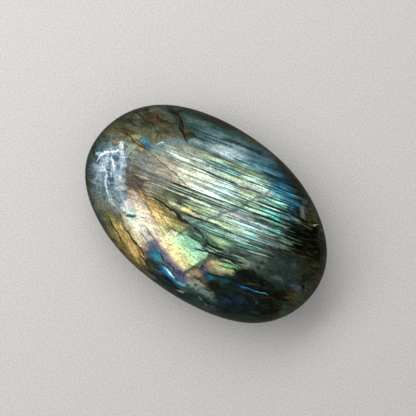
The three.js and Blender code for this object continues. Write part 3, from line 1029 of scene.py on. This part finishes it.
def lay_layers(skin):
    """The lamellae that can be told apart, from the top of the stone to the bottom."""
    for at, start, end, thickness, colour, share in (
        (19.4, -9, 3, 0.7, DARK, 0.9), (18.6, -17, -6, 0.35, DARK, 0.7), (17.9, -13, -4, 0.35, DARK, 0.7),
        (17.0, -15, -8, 0.3, DARK, 0.6), (16.4, -3, 9, 0.3, SLATE, 0.6), (15.3, -12, -5, 0.2, SLATE, 0.6),
        (15.0, 4, 13, 0.4, NAVY, 0.8), (14.4, 5, 14, 0.25, NAVY, 0.6),
        (13.9, -11, -8, 0.3, OLIVE_DARK, 0.7), (13.9, -3, 3, 0.3, OLIVE_DARK, 0.7),
        (13.6, 6, 15, 0.25, NAVY, 0.75), (12.75, -8, 5, 0.28, DARK, 0.75), (12.6, 4, 16, 0.32, NAVY, 0.9),
        (11.45, -12, 3, 0.24, DARK, 0.85), (11.4, 2, 10, 0.24, DARK, 0.85), (11.2, 9, 17, 0.26, NAVY, 0.85),
        (10.1, -17, -8, 0.24, SLATE, 0.75), (10.0, 9, 17, 0.3, NAVY, 0.8), (9.85, -9, 2, 0.22, DARK, 0.8),
        (9.65, -7, 3, 0.26, DARK, 0.85), (9.65, 2, 9, 0.32, DARK, 0.9), (9.4, 8, 19, 0.34, BLACK, 0.92),
        (9.2, -11, 4, 0.24, DARK, 0.8), (9.3, -17, -10, 0.14, SLATE, 0.7),
        (8.85, -16, -12, 0.16, OLIVE_DARK, 0.6), (8.8, 13, 19, 0.3, BLACK, 0.9),
        (8.4, 2.5, 8, 0.16, BROWN, 0.8), (8.1, 14, 19, 0.3, BLACK, 0.8), (7.5, -11, -1, 0.22, SLATE, 0.6),
        (7.5, 0, 8, 0.24, BROWN, 0.75), (7.3, 7, 19, 0.38, BLACK, 0.95), (7.0, -22, -14, 0.22, SLATE, 0.6),
        (6.65, 1, 8, 0.28, DARK, 0.75), (6.5, 7, 18, 0.32, BLACK, 0.92), (6.3, -9, -2, 0.12, SEA, 0.6),
        (5.6, -8, 4, 0.22, SEA, 0.6), (5.55, 2, 8, 0.26, DARK, 0.75), (5.2, 5, 13, 0.24, BLACK, 0.85),
        (5.05, 12, 23, 0.3, BLACK, 0.92), (4.6, -21, -10, 0.45, SLATE, 0.75),
        (4.3, -12.5, -6, 0.42, BLACK, 0.95), (4.15, -8, 3, 0.34, DARK, 0.9), (4.0, 2, 9, 0.3, DARK, 0.75),
        (3.8, 8, 24, 0.5, BLACK, 0.95), (3.3, -12.5, 3, 0.26, DARK, 0.85),
        (3.0, -20, -13, 0.25, SLATE, 0.6), (2.75, -12.5, 5, 0.28, BLACK, 0.92),
        (2.45, -6, 3, 0.2, DARK, 0.8), (2.4, 3, 10, 0.6, (108, 124, 132), 0.8),
        (2.1, 9, 20, 0.5, BLACK, 0.85), (2.0, -13, -5, 0.2, DARK, 0.85), (1.7, -13, -5, 0.2, DARK, 0.8),
        (1.35, -13, -6, 0.18, DARK, 0.8), (1.0, -13, -6, 0.18, DARK, 0.75), (0.65, -9, -3, 0.16, DARK, 0.7),
        (0.6, 3, 15, 0.28, DARK, 0.85), (0.5, 13, 24, 0.35, BLACK, 0.9), (-0.85, 0, 10, 0.28, DARK, 0.8),
        (-1.15, 9, 22, 0.3, BLACK, 0.85), (-1.9, -7, 0, 0.24, BLACK, 0.9), (-2.15, -5, 6, 0.3, BLACK, 0.92),
        (-2.5, -4, 2, 0.14, DARK, 0.85), (-2.8, -4, 9, 0.2, DARK, 0.85), (-3.1, 5, 19, 0.34, BLACK, 0.9),
        (-3.35, 0, 8, 0.16, DARK, 0.7), (-4.3, 2, 10, 0.2, DARK, 0.85), (-4.75, 1, 9, 0.2, DARK, 0.8),
        (-5.15, 1, 12, 0.2, DARK, 0.8), (-4.2, 11, 18, 0.28, BLACK, 0.8), (-5.85, 9, 21, 0.3, BLACK, 0.92),
        (-5.5, 14, 20, 0.2, BLACK, 0.7), (-6.7, 9, 18, 0.22, BLACK, 0.8), (-7.1, 7, 17, 0.2, DARK, 0.8),
        (-7.5, 8, 17, 0.22, BLACK, 0.8), (-8.0, 3, 15, 0.36, BLACK, 0.92), (-8.45, 3, 15, 0.28, BLACK, 0.9),
        (-8.9, 3, 9, 0.28, BLACK, 0.9), (-9.35, 3, 9, 0.28, BLACK, 0.9), (-9.2, 10, 15, 0.14, DARK, 0.7),
        (-9.9, 2, 9, 0.4, BLACK, 0.95), (-10.2, 8, 16, 0.5, BLACK, 0.95), (-11.2, 9, 16, 0.36, BLACK, 0.92),
        (-12.45, 9, 15, 0.3, BLACK, 0.85), (-14.4, 11, 14.5, 0.3, BLACK, 0.8),
        (-15.4, 8, 18, 0.4, BLACK, 0.8),
    ):
        skin.layer(at, start, end, thickness * DARK_THICKENING, colour, share)
    # bright threads between the dark ones
    for at, start, end, thickness, colour, share in (
        (2.35, -17, -1, 0.2, (220, 222, 190), 0.85), (3.6, -12, 5, 0.22, (196, 222, 196), 0.85),
        (3.02, -12, 4, 0.14, (170, 196, 170), 0.8), (6.2, 6, 10, 0.16, (210, 224, 176), 0.8),
        (6.9, 8, 15, 0.2, (236, 255, 244), 0.85), (-0.15, -12, -6, 0.14, (176, 186, 128), 0.7),
        (-2.65, -4, 4, 0.12, (176, 206, 170), 0.8), (-3.65, 3, 14, 0.16, (200, 232, 200), 0.8),
        (-4.5, 2, 9, 0.14, (180, 216, 170), 0.8), (-6.15, 13, 19, 0.2, (206, 226, 190), 0.85),
        (-9.55, 3.5, 8.5, 0.18, (176, 220, 190), 0.85), (-9.1, 4, 8.5, 0.18, (160, 206, 170), 0.8),
        (-8.7, 4.5, 9, 0.14, (150, 190, 150), 0.75), (-10.7, 9.5, 15.5, 0.2, (186, 204, 150), 0.85),
        (-8.7, 10.5, 15, 0.16, (140, 200, 170), 0.8),
    ):
        skin.layer(at, start, end, thickness, colour, share)


def lay_cracks(skin):
    """Cracks, healed seams and veins."""
    # blue thread in the dark end
    skin.veins(
        ([(15.4, -10.7), (17.6, -9.7), (19.4, -8.9), (21.6, -8.1), (24.2, -7.2)], 0.4, (20, 58, 92), 0.8),
        ([(17.4, -9.7), (19, -8.9), (20.8, -8.4), (22.4, -7.9)], 0.3, (34, 112, 176), 0.9),
        ([(20.6, -8.4), (22.4, -7.8), (24.2, -7.2)], 0.26, (80, 172, 190), 0.85),
    )
    # grey healed crack down the middle, crossing the lamellae
    grey = (76, 96, 92)
    skin.veins(
        ([(9.2, 14.2), (8.7, 11.5), (7.2, 10), (6.6, 8), (5.2, 5), (3.6, 3), (1.6, -0.5),
         (-1.3, -5)], 0.9, grey, 0.72, False),
        ([(7.4, -7.1), (6.9, -9), (6.1, -11), (5.5, -12.7), (4.6, -15.2)], 1.3, (76, 84, 66), 0.92, False),
    )
    # long black crack under the flash, brown at its left end, with stripes of shade where it stops
    black = (10, 9, 3)
    skin.veins(
        ([(-22.5, -5.2), (-20, -5.0), (-18.4, -4.7), (-16.6, -5.2), (-14, -5.7)], 0.34, (52, 42, 30), 0.85),
        ([(-14.4, -4.6), (-12.4, -4.4), (-9.6, -3.9), (-6.5, -4.2)], 0.9, (88, 78, 30), 0.7),
        (LONG_CRACK[:6], 0.6, black, 0.97),
        (LONG_CRACK[3:9], 0.7, black, 0.97),
    )
    skin.patch((-4.7, -5.2), (1.0, 0.36), -12, black, kind=RAGGED)
    skin.veins(
        (LONG_CRACK[8:11], 0.5, black, 0.95),
        ([(-1.2, -4.9), (-1.9, -6.2), (-2.4, -7.8), (-2.7, -9.4)], 0.7, (84, 84, 50), 0.7),
    )
    for line, thickness in (
        ([(2.2, -4.9), (3.2, -5.7), (4.6, -6.0), (6.2, -5.9)], 0.8),
        ([(4.4, -6.3), (6.8, -5.6), (9.8, -4.9)], 0.5), ([(3.0, -6.5), (5.6, -6.2), (7.6, -5.7)], 0.4),
        ([(3.6, -7.2), (6, -6.6), (9, -5.9), (13, -4.7)], 0.4),
        ([(4.2, -8.0), (6.4, -7.5), (8.0, -6.9), (9.2, -7.3)], 0.55),
        ([(7.2, -7.0), (8.4, -7.2), (9.3, -7.2)], 0.8), ([(8.6, -6.8), (11.6, -6.2), (15.4, -4.9)], 0.45),
    ):
        skin.vein(line, thickness, (8, 13, 8), share=0.95)
    for line in (
        [(4.8, -6.75), (6.8, -6.1), (9.2, -5.4)], [(5.0, -7.35), (6.6, -6.95), (7.8, -6.55)],
        [(9.8, -6.9), (12.6, -6.2), (15.4, -5.4)],
    ):
        skin.vein(line, 0.24, (140, 196, 160), share=0.85)
    skin.veins(
        ([(-1.4, -7.5), (0.6, -7.1), (3, -6.7)], 0.4, (22, 44, 32), 0.85),
        ([(-1.0, -6.5), (1.2, -6.2), (3.2, -5.9)], 0.3, (20, 48, 36), 0.8),
        ([(0.2, -5.7), (1.8, -5.6), (3.2, -5.5)], 0.5, (104, 156, 128), 0.8),
        ([(-6, -8.7), (-3.6, -8.3), (-1.2, -7.9)], 0.42, (44, 52, 28), 0.85),
        ([(-6.4, -8.2), (-4.6, -8.1), (-3.2, -7.7)], 0.26, (80, 82, 40), 0.8),
    )
    # lines in the amber and cream
    for line in (
        [(-14.6, -6.4), (-12.4, -7.8), (-9.4, -9.2), (-7.2, -9.7)],
        [(-13.4, -6.2), (-11.2, -7.4), (-9, -8.4)], [(-12.6, -5.9), (-10.4, -6.8), (-8, -7.8), (-6, -8.3)],
        [(-10.4, -5.9), (-8, -6.7), (-5.6, -7.2)],
    ):
        skin.vein(line, 0.26, (138, 108, 60), share=0.75)
    skin.veins(
        ([(-12.8, -11.0), (-12, -10.8), (-11, -10.5)], 0.45, (124, 116, 98), 0.85),
        ([(-10.8, -11.7), (-9, -12.5), (-7.6, -13.1), (-5.8, -13.5)], 0.42, (122, 100, 82), 0.85),
        ([(-12.4, -13.8), (-9.6, -14.2), (-6.6, -14.6)], 0.3, (112, 106, 92), 0.85),
        ([(-3.6, -11.7), (-2.6, -11.6), (-1.8, -11.4)], 0.3, (96, 90, 40), 0.8),
        ([(-1.0, -10.6), (2.2, -10.6), (4, -10.8), (6, -10.8)], 0.24, (104, 134, 84), 0.8),
        ([(3.0, -13.3), (4.0, -12.9), (5.0, -12.8)], 0.34, (92, 92, 50), 0.85),
        ([(-5.4, -2.0), (-2.5, -1.5), (0.4, -1.7)], 0.4, (70, 52, 22), 0.9),
    )
    # lines in the gold of the bottom slope
    for line, thickness in (
        ([(-15.6, -14.6), (-13.6, -15.5), (-12, -16.3), (-9.8, -16.7), (-7.6, -17.2), (-6, -18)], 0.42),
        ([(-19.5, -15.6), (-17, -16.7), (-14.5, -17.6), (-12, -18.7)], 0.5),
        ([(-13.6, -17), (-11, -17.9)], 0.4), ([(-9, -17.5), (-7, -18.3), (-5, -19), (-3, -19.2)], 0.42),
        ([(-17.6, -15.2), (-15, -16.0)], 0.35),
    ):
        skin.vein(line, thickness, (50, 40, 14), share=0.85)
    skin.vein([(-15.6, -15.2), (-13.4, -16.1), (-11.8, -16.8)], 0.3, (230, 208, 150), 0.8)
    # fine lines low in the middle
    for line in (
        [(-4.4, -15.0), (-2, -15.8), (0.6, -16.4)], [(-3, -17.2), (-1, -16.9), (0.4, -16.8)],
        [(-1.4, -15.4), (1.6, -16.0), (4.6, -16.9)],
    ):
        skin.vein(line, 0.34, (26, 38, 48), share=0.85)
    # wandering brown cracks on the left
    brown = (62, 52, 36)
    skin.veins(
        (LEFT_CRACK[2:], 0.26, brown, 0.8),
        (LEFT_CRACK[:4], 0.4, (40, 34, 20), 0.85),
        ([(-22.5, -3.3), (-19, -3.6), (-16.5, -2.6), (-14, -1.6)], 0.4, (76, 66, 54), 0.8),
        ([(-20.6, 15.4), (-19.2, 14.2), (-17.6, 13.2), (-16.0, 12.2)], 1.5, (66, 50, 22), 0.7),
        (SHOULDER_CRACK[:4], 0.55, (20, 18, 8), 0.9),
        ([(-19.2, 13.3), (-18, 12.6), (-16.4, 12.1), (-15.2, 11.3), (-14.6, 10.8)], 0.6, (26, 24, 10), 0.9),
        ([(-16.4, 13.0), (-14.6, 13.4), (-13.0, 12.9)], 0.5, (30, 34, 20), 0.85),
        ([(-25.2, 12.2), (-23.6, 11.3), (-22.2, 11.9), (-20.6, 12.2), (-19.4, 13)], 0.6, (50, 34, 14),
         0.85),
        ([(-24.6, 9.4), (-22.6, 8.9), (-21.4, 7.8), (-20.9, 6.6)], 0.45, (52, 52, 28), 0.8),
        ([(-30.6, 9.3), (-28, 9.1), (-25.6, 8.9)], 0.55, (26, 30, 20), 0.85),
        ([(-31.6, 6.4), (-29.6, 6.6), (-27.6, 6.2), (-26, 7.2)], 0.4, (34, 40, 28), 0.7),
        # pale left edge of the flash, partly a painted reflection: the edge of the lamp's mirror image on
        # the polish
        ([(-20.8, 4.6), (-20.1, 6.2), (-18.8, 7.6), (-17.2, 8.8), (-15.4, 10.4)], 1.5, (106, 128, 130),
         0.7, False),
        ([(-20.3, 6.0), (-19.7, 6.8), (-18.8, 7.6)], 0.3, (206, 224, 226), 0.85),
        ([(-14.6, 11.2), (-13.2, 12.4), (-11.2, 13.0)], 1.0, (124, 152, 154), 0.7),
    )


def lay_grain(skin):
    """The fine unevenness of the crystal, over everything."""
    t = skin.t
    grain = t.grained((0.38, 0.38, 0.38), UPRIGHT, (8, 0, 0), roughness=0.75)
    skin.shade(t.rise(grain, 0.66, 0.34), 0.6, 1.42, 0.85)
    clouds = t.grained((2.6, 1.4, 2.6), LAYERED, (0, 0, 8))
    skin.shade(t.rise(clouds, 0.66, 0.36), 0.7, 1.3, 0.8)


def lay_marks(skin):
    """Spots, rust and painted glints."""
    # pit in the cream, ringed with mint
    skin.patches(
        RAGGED,
        ((-14.8, -11.9), (1.9, 1.4), -14, (216, 244, 232)),
        ((-15.2, -12.3), (0.75, 0.4), 40, (14, 52, 48), 0.97),
        ((-14.2, -11.7), (0.75, 0.4), 30, (18, 58, 54), 0.97),
        # gold lens over the long crack
        ((-4.8, -2.6), (1.4, 0.4), 16, (250, 228, 140)),
        ((-2.2, -2.3), (1.5, 0.35), 14, (214, 202, 152), 0.8),
        ((-7.4, -3.2), (1.6, 0.35), 14, (216, 230, 182), 0.85),
        ((-6.9, -2.2), (1.0, 0.45), 15, (16, 18, 12), 0.95),
        ((-18, -2.6), (1.8, 0.3), 16, (186, 180, 152), 0.8, STREAKED),
        # upper left
        ((-21.9, 14.7), (1.5, 0.75), 0, (20, 20, 6), 0.95),
        ((-20.8, 15.8), (0.9, 0.4), 40, (24, 26, 10)),
        ((-27.4, 11.3), (0.8, 0.35), 56, INK),
        ((-24.0, 10.4), (1.2, 0.5), 0, (84, 62, 38), 0.6),
        ((-21.6, 10.8), (1.3, 0.45), 18, (112, 88, 66), 0.6),
        # upper right
        ((18.9, 14.2), (1.5, 0.5), -40, (122, 128, 120), 0.75),
        ((17.6, 16.3), (0.35, 0.2), 20, (96, 94, 74), 0.7),
        ((20.8, 13.6), (0.9, 0.35), -30, (54, 52, 34)),
        ((24.3, 12.9), (0.7, 0.35), -50, INK),
    )
    # a painted glint on the edge chip, and a pale line beside it
    skin.veins(
        ([(22.5, 13.5), (23.2, 13.6), (23.8, 14.2)], 0.3, (186, 184, 160), 0.85),
        ([(20.8, 12.0), (22.2, 12.2), (23.6, 12.2)], 0.24, (110, 118, 92), 0.8),
    )
    # right end
    skin.patches(
        RAGGED,
        ((25.2, 2.7), (0.9, 0.35), -36, (72, 74, 60), 0.7),
        ((28.5, 2.2), (0.22, 0.5), 0, INK),
        ((29.4, 0.9), (0.3, 0.3), 0, INK),
        ((30.1, -0.3), (0.32, 0.5), 0, INK),
        ((25.3, 3.8), (0.3, 0.3), 0, INK),
        ((27.9, -1.7), (0.8, 0.6), 30, (62, 80, 94), 0.85),
        ((29.3, -1.5), (0.6, 0.7), 10, (80, 96, 112), 0.85),
        ((18.7, -1.6), (0.9, 0.3), 10, INK),
        ((18.3, -3.3), (0.5, 0.4), 0, INK),
        ((18, -4.8), (0.8, 0.4), 0, INK),
        ((21.5, 4.8), (0.4, 0.3), 0, (50, 110, 104), 0.7),
        ((25.2, -2.6), (0.3, 0.25), 0, (50, 100, 100), 0.7),
        ((29.3, -10.9), (0.6, 0.4), 50, (72, 54, 32), 0.7),
        ((19.5, -7.5), (1.0, 0.15), 20, (92, 88, 56), 0.6),
        ((22.9, -10.3), (0.7, 0.2), -20, (46, 92, 100), 0.5),
        ((17.5, -14.4), (1.2, 0.4), 10, (38, 54, 80), 0.75),
        ((19, -12.5), (1.4, 0.9), 30, (36, 52, 70), 0.85),
        # electric flash low on the front slope, with a painted white glint along it and painted cream
        # glints below
        ((0.8, -18.0), (1.9, 0.5), -8, (22, 108, 166), 0.95),
        ((0.9, -17.5), (1.8, 0.32), -12, (96, 204, 226), 0.95),
        ((1.2, -17.45), (1.4, 0.2), -14, (250, 255, 246), 0.97),
        ((4.4, -18.3), (1.4, 0.28), 4, (20, 116, 176)),
        ((5.6, -18.0), (1.0, 0.2), 14, (110, 204, 208)),
        ((2.0, -19.0), (1.6, 0.4), -4, INK),
        ((6.4, -19.6), (1.1, 0.2), 20, (150, 148, 124)),
        ((11.4, -18.0), (0.7, 0.2), -10, (72, 150, 128), 0.8),
        ((13.3, -18.4), (0.5, 0.18), -20, (66, 134, 116), 0.8),
        ((8.4, -16.1), (0.5, 0.3), 40, INK),
    )


def labradorite():
    """Polished labradorite: a painted body under a clear glossy skin."""
    material = bpy.data.materials.new("polished_labradorite")
    material.use_nodes = True
    t = Tree(material.node_tree)
    shader = material.node_tree.nodes["Principled BSDF"]
    skin = Skin(t)
    lay_body(skin)
    body = skin.colour
    lay_ground(skin)
    lay_field(skin)
    lay_glows(skin)
    lay_lower_flash(skin)
    lay_left_end(skin)
    lay_streaks(skin)
    lay_cross_streaks(skin)
    lay_layers(skin)
    lay_cracks(skin)
    lay_marks(skin)
    ragged_height = t.maths("MULTIPLY_ADD", t.centred(skin.noises["cloudy"]), DOME_EDGE_STRAYS, skin.z)
    seen_from_above = t.rise(ragged_height, *DOME_EDGE)
    skin.colour = t.mix(seen_from_above, body, skin.colour)
    lay_grain(skin)
    # painted shade: the colours darkened towards the rim, above and below the girdle, less so towards the
    # dark end
    rim_painted_shade = t.times(t.rise(skin.z, *RIM_ABOVE), t.rise(skin.z, *RIM_BELOW))
    rim_painted_shade = t.times(rim_painted_shade, t.maths("MULTIPLY_ADD", t.rise(skin.x, *RIM_THINS), -RIM_LOSS, 1.0))
    skin.shade(t.rest(rim_painted_shade), low=RIM_SHADE, high=1.0, share=1.0)
    t.join(skin.colour, shader.inputs["Base Color"])
    sheets = t.grained((8, 0.5, 4), LAYERED)
    t.join(t.span(sheets, 0.3, 0.7, *ROUGHNESS), shader.inputs["Roughness"])
    relief = t.maths("ADD", sheets, t.grained((1.2, 1.2, 1.2)))
    bump = t.node("ShaderNodeBump", {"Strength": 0.35, "Distance": 0.05 * MM, "Height": relief})
    t.join(bump.outputs[0], shader.inputs["Normal"])
    shader.inputs["IOR"].default_value = 1.5
    shader.inputs["Specular IOR Level"].default_value = 0.0
    shader.inputs["Coat Weight"].default_value = 0.2
    shader.inputs["Coat Roughness"].default_value = 0.09
    shader.inputs["Coat IOR"].default_value = 1.56
    return material


# ------------------------------------------------------------------ table, light and camera
def table():
    """A wide pale table that fades into the studio."""
    bpy.ops.object.select_all(action="DESELECT")
    bpy.ops.mesh.primitive_circle_add(vertices=96, radius=TABLE_RADIUS, fill_type="NGON")
    top = bpy.context.object
    top.name = "table"
    material = bpy.data.materials.new("pale_table")
    material.use_nodes = True
    t = Tree(material.node_tree)
    shader = material.node_tree.nodes["Principled BSDF"]
    place = t.node("ShaderNodeTexCoord").outputs["Object"]
    grit = t.grained((0.45, 0.45, 0.45), detail=2.0)
    colour = t.mix(t.rise(grit, 0.3, 0.7), GRIT_DARK, GRIT_PALE)
    t.join(colour, shader.inputs["Base Color"])
    relief = t.grained((0.7, 0.7, 0.7), UPRIGHT, (5, 0, 0), detail=2.0)
    bump = t.node("ShaderNodeBump", {"Strength": 0.3, "Distance": 0.2 * MM, "Height": relief})
    t.join(bump.outputs[0], shader.inputs["Normal"])
    shader.inputs["Roughness"].default_value = 0.75
    shader.inputs["Specular IOR Level"].default_value = 0.2
    away = t.vector("LENGTH", place, gives="Value")
    far = t.rise(away, *LIT_RADIUS)
    glow = t.node("ShaderNodeEmission", {"Color": STUDIO_GREY})
    both = t.node("ShaderNodeMixShader", {0: far, 1: shader.outputs[0], 2: glow.outputs[0]})
    surface = material.node_tree.nodes["Material Output"].inputs["Surface"]
    t.join(both.outputs[0], surface)
    top.data.materials.append(material)


def area_light(name, place, aim, size, radiance, colour):
    """A rectangular softbox. Places are in metres, radiance is what a camera facing it would see."""
    light = bpy.data.lights.new(name, "AREA")
    light.shape = "RECTANGLE"
    light.size, light.size_y = size
    light.energy = radiance * math.pi * size[0] * size[1]
    light.color = colour
    lamp = bpy.data.objects.new(name, light)
    bpy.context.scene.collection.objects.link(lamp)
    lamp.location = place
    lamp.rotation_euler = (Vector(aim) - Vector(place)).to_track_quat("-Z", "Y").to_euler()
    return lamp


def studio():
    """A long key light from the left, a weak one overhead, a sheen for the polish alone, and the room."""
    key = area_light("key", place=(-0.21, 0.03, 0.26), aim=(-0.02, 0, 0), size=(0.60, 0.16),
                     radiance=3.3, colour=WARM)
    overhead = area_light("overhead", place=(-0.02, 0.0, 0.28), aim=(0, 0, 0), size=(0.44, 0.44),
                          radiance=0.26, colour=WARM)
    key.visible_glossy = False
    overhead.visible_glossy = False
    sheen = area_light("sheen", place=(-0.03, 0.09, 0.50), aim=(0, 0, 0), size=(0.42, 0.50),
                       radiance=2.0, colour=COOL)
    sheen.visible_diffuse = False
    world = bpy.data.worlds.new("studio")
    world.use_nodes = True
    bpy.context.scene.world = world
    t = Tree(world.node_tree)
    path = t.node("ShaderNodeLightPath").outputs
    shown = t.mix(path["Is Camera Ray"], ROOM_LIGHT, STUDIO_GREY)
    lit = t.mix(path["Is Glossy Ray"], shown, MIRRORED_ROOM)
    t.join(lit, world.node_tree.nodes["Background"].inputs["Color"])


def camera_above():
    """Looks straight down, turned so that the stone lies aslant."""
    camera = bpy.data.cameras.new("camera")
    camera.lens = LENS
    camera.sensor_width = SENSOR
    camera.clip_start = 0.01
    camera.clip_end = 10.0
    holder = bpy.data.objects.new("camera", camera)
    bpy.context.scene.collection.objects.link(holder)
    right = Vector((math.cos(STONE_TURN), -math.sin(STONE_TURN), 0))
    up = Vector((math.sin(STONE_TURN), math.cos(STONE_TURN), 0))
    middle = -STONE_ASIDE * right - STONE_ABOVE * up
    distance = VIEW_WIDTH * LENS / SENSOR
    place = middle + Vector((0, 0, GIRDLE_HEIGHT + distance))
    turn = Matrix((right, up, (0, 0, 1))).transposed().to_4x4()
    holder.matrix_world = Matrix.Translation(place) @ turn
    bpy.context.scene.camera = holder


stone = rounded_stone()
stone.data.materials.clear()
stone.data.materials.append(labradorite())
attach(stone, "root")
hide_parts(NODE)
table()
studio()
camera_above()
bpy.context.scene.view_settings.view_transform = "Standard"
bpy.context.scene.view_settings.look = "None"
